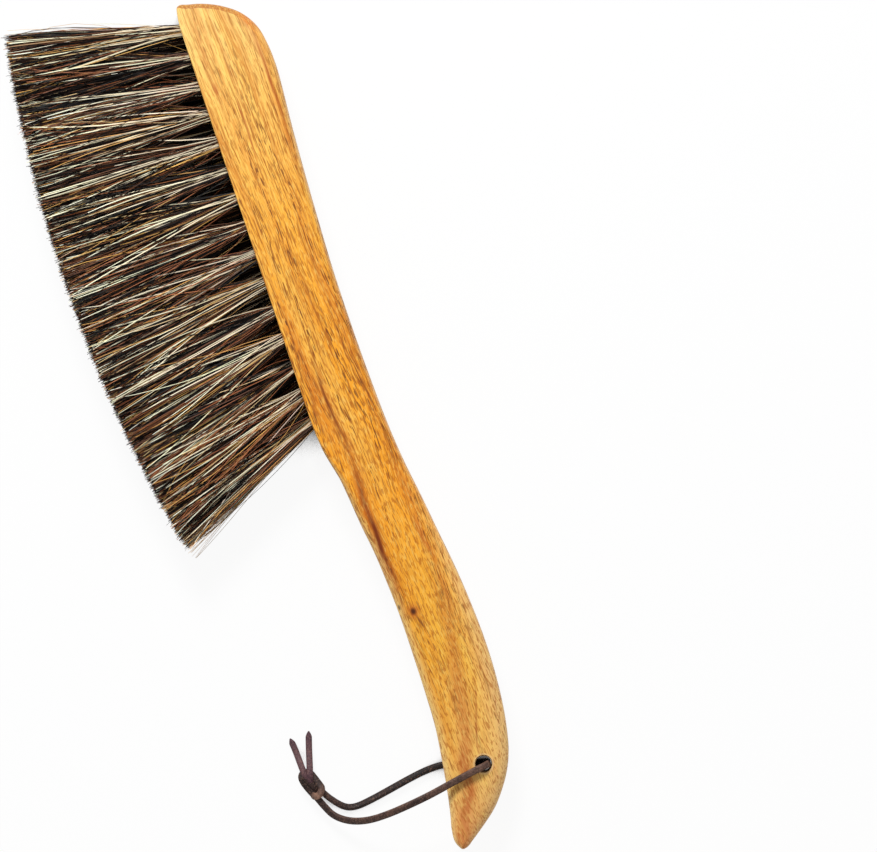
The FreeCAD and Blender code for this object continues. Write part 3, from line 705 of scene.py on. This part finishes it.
def hair_mesh(name, points, colour):
    """Mesh of hairs: the three sides of each as strips of faces and a face on each end, a colour on
    every corner point, and a bake map with one cell per hair, its sides beside each other in it."""
    n, rings, sides = points.shape[:3]
    index = np.arange(n * rings * sides).reshape(n, rings, sides)
    turned = np.roll(index, -1, axis=2)
    strips = np.stack([index[:, :-1], turned[:, :-1], turned[:, 1:], index[:, 1:]], axis=-1)
    strips = strips.reshape(-1, 4)
    ends = np.concatenate([index[:, 0, ::-1], index[:, -1]])
    mesh = bpy.data.meshes.new(name)
    mesh.vertices.add(n * rings * sides)
    mesh.vertices.foreach_set("co", points.astype(np.float32).ravel())
    corners = np.concatenate([strips.ravel(), ends.ravel()])
    mesh.loops.add(len(corners))
    mesh.loops.foreach_set("vertex_index", corners.astype(np.int32))
    starts = np.concatenate([np.arange(len(strips)) * 4, strips.size + np.arange(len(ends)) * 3])
    mesh.polygons.add(len(starts))
    mesh.polygons.foreach_set("loop_start", starts.astype(np.int32))
    mesh.polygons.foreach_set("use_smooth", np.zeros(len(starts), bool))
    mesh.update(calc_edges=True)

    tint = mesh.color_attributes.new("fibre_colour", "FLOAT_COLOR", "POINT")
    rgba = np.ones((n, rings, sides, 4), np.float32)
    rgba[..., :3] = colour[:, :, None]
    tint.data.foreach_set("color", rgba.ravel())

    across = math.ceil(math.sqrt(n * 2))
    cell = np.array([1 / across, 1 / math.ceil(n / across)])
    corner = np.stack([np.arange(n) % across, np.arange(n) // across], axis=1) * cell
    u = (np.arange(sides)[:, None] + STRIP_EDGES[None]) / sides * (1 - 2 * CELL_MARGIN) + CELL_MARGIN
    v = np.linspace(*RING_SPAN, rings)
    low, strip = np.meshgrid(np.arange(rings - 1), np.arange(sides), indexing="ij")
    quad_u = np.stack([u[strip, 0], u[strip, 1], u[strip, 1], u[strip, 0]], axis=-1)
    quad_v = np.stack([v[low], v[low], v[low + 1], v[low + 1]], axis=-1)
    quads = np.stack([quad_u, quad_v], axis=-1)
    strip_map = corner[:, None, None, None] + quads[None] * cell
    root_map = corner[:, None] + END_CORNERS[None] * cell
    tip_map = corner[:, None] + (np.array([0.0, 1.0]) + END_CORNERS * np.array([1, -1]))[None] * cell
    layer = mesh.uv_layers.new(name="OFBake")
    flat = np.concatenate([strip_map.reshape(-1, 2), root_map.reshape(-1, 2), tip_map.reshape(-1, 2)])
    layer.data.foreach_set("uv", flat.astype(np.float32).ravel())
    return mesh


def fibre():
    """Hair and plant fibre: each hair's own colour, mottled along its length, with a soft gloss."""
    hair = Finish("bristle_fibre")
    own = hair.add("VertexColor", layer_name="fibre_colour")
    mottle = hair.noise(hair.place(), (400, 120, 400))
    tone = hair.mix(hair.band(mottle, 0.5, 0.8), own, (0.02, 0.013, 0.009, 1), 0.25)
    hair.shade(Base_Color=tone, Roughness=hair.band(mottle, 0.3, 0.7, 0.45, 0.6), Specular_IOR_Level=0.15)
    return hair.material


fibre_finish = fibre()
for row, (level, shift, count) in TUFT_ROWS.items():
    for place in range(count):
        name = f"tuft_{row}_{place + 1:02d}"
        hairs = hair_mesh(f"{name}_hair", *tuft_hairs(level, shift, place, count))
        piece(f"{name}_hair", hairs, fibre_finish, "broom", name)


# Thong. One flat leather lace, about 3 mm wide, pushed through the hole in the grip, with both halves
# led to one knot. Dark brown, waxed, with paler worn edges and places; painted shade darkens it beside
# and underneath the grip and in the knot, and a painted highlight lightens the turn wrapped across the
# knot.
LACE_WIDTH, LACE_THICKNESS = 0.0027, 0.0019
LACE_SIDES = 24
# Share of the width left where a lace is cut to a point, and how much paler its rims are
BLUNT = 0.2
RIM_WEAR = 0.14
# Routes in millimetres, from inside the hole to the knot
FRONT_ROUTE = [
    (227.45, 10.20, 11.75), (227.45, 10.20, 15.60), (227.40, 10.10, 22.15), (228.33, 2.98, 22.30),
    (229.88, -5.62, 22.25), (231.59, -14.53, 22.05), (232.72, -23.15, 21.50), (233.68, -31.63, 18.20),
    (233.95, -40.09, 12.60), (232.30, -47.10, 7.40), (228.72, -52.35, 4.90), (224.09, -54.83, 4.25),
    (219.54, -56.58, 4.20),
]
BACK_ROUTE = [
    (227.45, 10.20, 11.75), (227.45, 10.20, 7.90), (227.25, 10.10, 1.60), (225.71, 3.06, 1.50),
    (222.99, -5.50, 1.55), (222.89, -12.76, 1.50), (224.05, -20.63, 1.55), (225.71, -29.09, 1.50),
    (227.27, -37.76, 1.55), (227.90, -43.40, 1.50), (226.89, -47.30, 1.70), (223.36, -50.69, 2.20),
    (219.03, -53.62, 2.60), (216.13, -54.85, 2.80),
]


def lace_line(route):
    """Points along the smooth line whose control points are the route's."""
    curve = bpy.data.curves.new("lace_line", "CURVE")
    curve.dimensions, curve.resolution_u = "3D", 10
    spline = curve.splines.new("NURBS")
    spline.points.add(len(route) - 1)
    weighted = np.column_stack([np.array(route) / 1000, np.ones(len(route))])
    spline.points.foreach_set("co", weighted.ravel())
    spline.order_u = 3
    spline.use_endpoint_u = True
    holder = placed("lace_line", curve)
    line = bpy.data.meshes.new_from_object(holder.evaluated_get(bpy.context.evaluated_depsgraph_get()))
    found = np.empty(len(line.vertices) * 3)
    line.vertices.foreach_get("co", found)
    bpy.data.objects.remove(holder)
    return found.reshape(-1, 3)


def lace_surface(line, flat, twist=(0, 0), point=0.0, width=1.0):
    """Rounded flat section carried along a line: at each point the flat side's direction is the one
    before it, turned square to the line, and then twisted about the line by an angle in degrees that
    changes evenly along it. The section is a superellipse, |x|^3 + |y|^3 = 1, and narrows over the last
    part of the line where the lace is cut to a point."""
    along = np.gradient(line, axis=0)
    along /= np.linalg.norm(along, axis=1, keepdims=True)
    faces = np.empty_like(line)
    facing = np.asarray(flat, float)
    for i, step in enumerate(along):
        facing = facing - step * facing.dot(step)
        facing = facing / np.linalg.norm(facing)
        faces[i] = facing
    run = distance_along(line)
    angle = np.radians(twist[0] + (twist[1] - twist[0]) * run / run[-1])[:, None]
    faces = faces * np.cos(angle) + np.cross(along, faces) * np.sin(angle)
    across = np.cross(along, faces)
    turn = np.linspace(0, 2 * math.pi, LACE_SIDES, endpoint=False)
    c, s = np.cos(turn), np.sin(turn)
    grow = (np.abs(c) ** 3 + np.abs(s) ** 3) ** (-1 / 3)
    narrow = np.ones(len(run))
    if point:
        narrow = np.clip((run[-1] - run) / point, 0.0, 1) ** 0.8 * (1 - BLUNT) + BLUNT
    ring = (c * grow)[None, :, None] * across[:, None] * (LACE_WIDTH / 2 * width * narrow)[:, None, None]
    ring = ring + (s * grow)[None, :, None] * faces[:, None] * (LACE_THICKNESS / 2)
    return line[:, None] + ring


def leather():
    """Waxed leather: dark brown with fine grain, paler where the piece's own value of wear and painted
    light is high, darker where that value paints shade, and more purple where its cool value is."""
    hide = Finish("lace_leather")
    place = hide.place()
    worn_and_lit = hide.add("Attribute", output=2, attribute_name="wear_and_shading")
    cloud = hide.noise(place, (260, 260, 260), 4.0, 0.6)
    level = hide.calc("ADD", worn_and_lit, hide.calc("MULTIPLY_ADD", cloud, 0.8, -0.4))
    tone = hide.ramp(level, [
        (0.0, srgb(24, 19, 19)), (0.35, srgb(64, 47, 43)), (0.65, srgb(108, 80, 68)),
        (1.0, srgb(176, 134, 112)),
    ])
    cool = hide.add("Attribute", output=2, attribute_name="cool")
    tone = hide.mix(cool, tone, srgb(104, 72, 84), 0.6)
    fine = hide.noise(place, (1700, 1700, 1700), 3.0, 0.6)
    tone = hide.mix(hide.band(fine, 0.46, 0.66), tone, srgb(30, 22, 21), 0.55)
    tone = hide.mix(hide.band(fine, 0.46, 0.34), tone, srgb(150, 116, 98), 0.35)
    bump = hide.add("Bump", {"Strength": 0.5, "Distance": 0.0001, "Height": fine})
    sheen = hide.band(cloud, 0.3, 0.7, 0.5, 0.66)
    hide.shade(Base_Color=tone, Roughness=sheen, Normal=bump, Specular_IOR_Level=0.25)
    return hide.material


leather_finish = leather()


def lace(name, stretches, flat, node, twist=(0, 0), point=0.0, width=1.0, cool=0.0):
    """Stretches of lace along their routes, each with values of wear and of painted light and shade at
    equal steps, paler on its rims, and one value for how cool its brown is."""
    lines = [lace_line(route) for route, _ in stretches]
    grids = [lace_surface(line, flat, twist, point, width) for line in lines]
    mesh = grid_mesh(name, *grids, capped=True)
    rims = RIM_WEAR * np.abs(np.cos(np.linspace(0, 2 * math.pi, LACE_SIDES, endpoint=False))) ** 6
    worn_and_lit = [
        np.interp(np.linspace(0, 1, len(line)), np.linspace(0, 1, len(wear_and_shading)), wear_and_shading)[:, None] + rims[None]
        for line, (_, wear_and_shading) in zip(lines, stretches)
    ]
    cools = np.full(len(mesh.vertices), cool)
    for key, values in (("wear_and_shading", np.concatenate(worn_and_lit).ravel()), ("cool", cools)):
        layer = mesh.attributes.new(key, "FLOAT", "POINT")
        layer.data.foreach_set("value", values.astype(np.float32))
    return piece(name, mesh, leather_finish, "thong_loop", node), lines[0]


front, front_line = lace(
    "thong_front_lace", [(FRONT_ROUTE, [0.45, 0.55, 0.58, 0.52, 0.44, 0.5, 0.44, 0.36, 0.26])],
    (0, 1, 0), "thong_front_strand",
)
# Painted shade: the back strand's low values darken it beside and underneath the grip
back, back_line = lace(
    "thong_back_lace", [(BACK_ROUTE, [0.2, 0.1, 0.02, 0.02, 0.08, 0.12, 0.3, 0.55])],
    (0, 1, 0), "thong_back_strand", twist=(0, 70),
)


# Knot of the thong, and its two free ends. Both halves of the lace are tied in an overhand knot and
# pulled tight: a collar round the ends, a turn wrapped across below it, and ends cut to blunt points.
# Middle of the knot in millimetres, and its directions towards the ends, across and up
KNOT = np.array([214.28, -56.94, 3.8])
KNOT_AXES = np.array([[-0.9716, -0.2368, 0.0], [0.2368, -0.9716, 0.0], [0.0, 0.0, 1.0]])
# Turns of the knot and the strand inside them, in millimetres along those directions
KNOT_TURNS = np.array([
    (-5.2, 0.9, 0.4), (-3.6, 1.4, -0.3), (-0.8, 1.9, -0.1), (2.2, 2.2, 0.3), (4.6, 1.9, 0.0),
    (5.6, 0.2, -1.5), (4.4, -1.9, -0.8), (1.6, -2.3, 0.4), (-1.4, -2.6, 1.0), (-3.4, -2.8, 1.9),
    (-5.0, -0.6, 2.6), (-4.6, 1.5, 1.3), (-3.2, 1.7, -1.0), (-1.0, 0.8, -1.6), (1.4, -0.6, -0.6),
    (3.4, -1.0, 0.6), (5.0, -1.3, 0.9),
])
KNOT_CORE = np.array([
    (-5.4, -2.0, -1.1), (-2.6, -1.0, 0.2), (0.0, -0.2, 0.6), (2.4, 0.2, 0.9), (4.4, 0.7, 1.0),
])
# Routes of the free ends in millimetres, from the knot outwards
LONG_TAIL_ROUTE = [
    (213.30, -57.00, 4.50), (211.50, -56.70, 5.80), (207.90, -55.50, 5.10), (203.10, -54.20, 3.10),
    (199.00, -53.00, 2.10), (194.50, -51.60, 1.60),
]
SHORT_TAIL_ROUTE = [
    (213.20, -57.60, 4.20), (211.10, -58.00, 5.00), (207.60, -58.40, 4.80), (202.60, -58.60, 2.80),
    (198.60, -58.80, 2.00), (195.00, -59.25, 1.60),
]
# The free ends: length of the cut point, width beside the lace's, and how cool their brown is
TAIL_CUT = {"point": 0.0019, "width": 0.92, "cool": 1.0}
# Painted shade in the knot's turns and a painted highlight on the turn wrapped across it
knot, _ = lace(
    "thong_knot_lace", [
        (KNOT + KNOT_TURNS @ KNOT_AXES,
         [0.35, 0.2, 0.12, 0.15, 0.1, 0.2, 0.25, 0.5, 0.85, 0.5, 0.15, 0.2, 0.3]),
        (KNOT + KNOT_CORE @ KNOT_AXES, [0.3, 0.2, 0.25, 0.3]),
    ], (0, 0, 1), "thong_knot",
)
long_tail, _ = lace(
    "thong_long_tail_lace", [(LONG_TAIL_ROUTE, [0.25, 0.4, 0.5, 0.5, 0.55, 0.2])],
    (0, 0, 1), "thong_long_tail", **TAIL_CUT,
)
short_tail, _ = lace(
    "thong_short_tail_lace", [(SHORT_TAIL_ROUTE, [0.3, 0.5, 0.6, 0.55, 0.5, 0.1])],
    (0, 0, 1), "thong_short_tail", **TAIL_CUT,
)


# Floor, light and camera. A sheet of white paper under even light and one soft box beyond the toe, seen
# straight from above with a long lens. The paper glows white where it is open; close to the broom the
# glow gives way and its colour is darkened, a painted shade where the broom hides it from the sky.
FLOOR_REACH, FLOOR_HEIGHT = 3, -0.0003
GLOW_SHARE = 0.93
SKY_STRENGTH = 0.4
BOX_AT, BOX_TOWARDS = Vector((-0.85, 0.05, 0.95)), Vector((0.05, 0, 0))
BOX_SIZE, BOX_POWER = 0.4, 16.0
# What the picture is centred on, its width at the broom's mid-plane, and how far it is turned
VIEW_MIDDLE = (0.09883, 0.03286)
VIEW_WIDTH = 0.3362
VIEW_TURN = math.atan2(0.9489, 0.3154)
LENS, SENSOR = 300, 36
floor_corners = [
    (x * FLOOR_REACH, y * FLOOR_REACH, FLOOR_HEIGHT) for x, y in ((-1, -1), (1, -1), (1, 1), (-1, 1))
]
floor_mesh = bpy.data.meshes.new("floor")
floor_mesh.from_pydata(floor_corners, [], [(0, 1, 2, 3)])
floor = placed("floor", floor_mesh)
paper = Finish("paper")
rays = paper.tree.nodes.new("ShaderNodeLightPath")
glow = paper.add("Emission", {"Color": (1, 1, 1, 1), "Strength": 1.0})
seen = paper.calc("MAXIMUM", rays.outputs["Is Camera Ray"], rays.outputs["Is Glossy Ray"])
sky_share = paper.add("AmbientOcclusion", {"Distance": 0.02}, 1, samples=8)
open_sky = paper.band(sky_share, 0.2, 0.42)
# Painted shade: the paper's colour is darkened where the broom hides it from the sky
paper_with_painted_shade = paper.mix(open_sky, (0.1, 0.1, 0.1, 1), (0.9, 0.9, 0.9, 1))
paper.shade(Base_Color=paper_with_painted_shade, Roughness=0.9, Specular_IOR_Level=0.1)
both = paper.tree.nodes.new("ShaderNodeMixShader")
paper.put(both.inputs[0], paper.times(seen, paper.times(open_sky, GLOW_SHARE)))
paper.put(both.inputs[1], paper.shader.outputs[0])
paper.put(both.inputs[2], glow)
paper.put(paper.tree.nodes["Material Output"].inputs[0], both.outputs[0])
floor_mesh.materials.append(paper.material)

scene = bpy.context.scene
world = bpy.data.worlds.new("studio")
world.use_nodes = True
sky = world.node_tree.nodes["Background"].inputs
sky[0].default_value, sky[1].default_value = (1, 1, 1, 1), SKY_STRENGTH
scene.world = world
scene.view_settings.view_transform = "Standard"

box_data = bpy.data.lights.new("key", "AREA")
box_data.size, box_data.energy = BOX_SIZE, BOX_POWER
box = placed("key", box_data)
box.location = BOX_AT
box.rotation_euler = (BOX_TOWARDS - BOX_AT).to_track_quat("-Z", "Y").to_euler()

camera_data = bpy.data.cameras.new("camera")
camera_data.lens, camera_data.sensor_width, camera_data.clip_end = LENS, SENSOR, 50
camera = placed("camera", camera_data)
camera.location = (*VIEW_MIDDLE, MID_PLANE + VIEW_WIDTH / SENSOR * LENS)
camera.rotation_euler = (0, 0, VIEW_TURN)
scene.camera = camera
